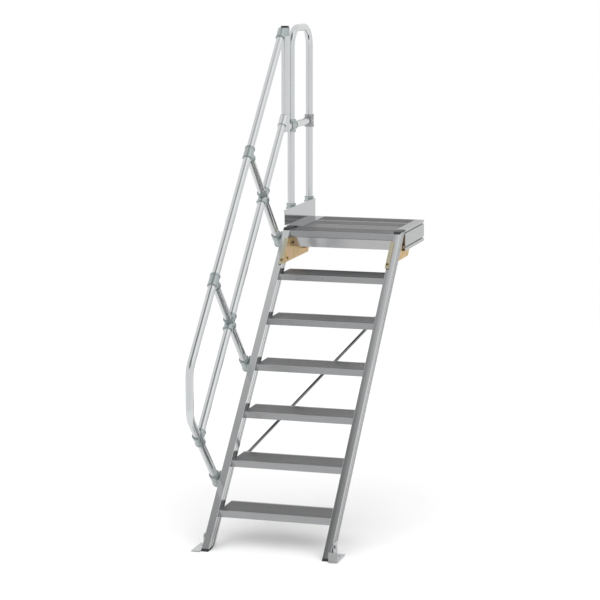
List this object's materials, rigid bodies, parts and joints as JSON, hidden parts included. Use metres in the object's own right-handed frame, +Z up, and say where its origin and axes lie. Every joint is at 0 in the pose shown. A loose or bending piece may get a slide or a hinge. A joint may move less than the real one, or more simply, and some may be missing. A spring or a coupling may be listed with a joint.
{
  "type": "industrial stair",
  "caption": "Steep fixed aluminium stair with ribbed treads, a small landing with a toe board, and a tubular handrail and hoop on its left side.",
  "frame": {"origin": "middle of the landing's rear cross beam, on the face that is bolted to a wall", "axes": "+Z up, +Y forward as someone climbs, towards the wall, +X to the climber's right; the handrail is at -X"},
  "size_m": [0.7579, 2.158, 2.514],
  "materials": {
    "aluminium_profile": "mill finish, brushed along the profile",
    "bright_aluminium": "bright mill finish",
    "aluminium_sheet": "smooth sheet",
    "ribbed_aluminium": "ribbed and serrated, dull on top",
    "rail_tube": "smooth drawn tube",
    "cast_fitting": "cast, tumbled",
    "yellow_zinc_steel": "yellow passivated zinc plate",
    "zinc_steel": "zinc plate",
    "black_plastic": "moulded black plastic"
  },
  "bodies": {
    "root": {"brace": "zinc_steel", "deck_plank_front": "bright_aluminium", "deck_plank_middle": "ribbed_aluminium", "deck_plank_rear": "ribbed_aluminium", "end_post": "rail_tube", "end_post_cap": "black_plastic", "end_post_corner": "cast_fitting", "end_post_elbow": "cast_fitting", "floor_anchor_left": "zinc_steel", "floor_anchor_right": "zinc_steel", "foot_caps": "black_plastic", "front_beam": "bright_aluminium", "gusset_left": "yellow_zinc_steel", "gusset_right": "yellow_zinc_steel", "hoop": "rail_tube", "hoop_brackets": "cast_fitting", "hoop_cross": "cast_fitting", "hoop_spreaders": "rail_tube", "hoop_tee": "cast_fitting", "knee_crosses": "cast_fitting", "knee_rail_lower": "rail_tube", "knee_rail_middle": "rail_tube", "knee_rail_upper": "rail_tube", "leg_bracket": "cast_fitting", "leg_tee": "cast_fitting", "lower_post_bracket": "cast_fitting", "post_lower": "rail_tube", "post_top_tees": "cast_fitting", "post_upper": "rail_tube", "rear_beam": "aluminium_profile", "side_beam_left": "aluminium_profile", "side_beam_right": "aluminium_profile", "stringer_left": "aluminium_profile", "stringer_right": "aluminium_profile", "toe_board": "aluminium_sheet", "top_caps": "black_plastic", "top_rail": "rail_tube", "tread_1": "ribbed_aluminium", "tread_2": "ribbed_aluminium", "tread_3": "ribbed_aluminium", "tread_4": "ribbed_aluminium", "tread_5": "ribbed_aluminium", "tread_6": "ribbed_aluminium", "tread_7": "ribbed_aluminium", "upper_post_bracket": "cast_fitting"}
  },
  "joints": []
}
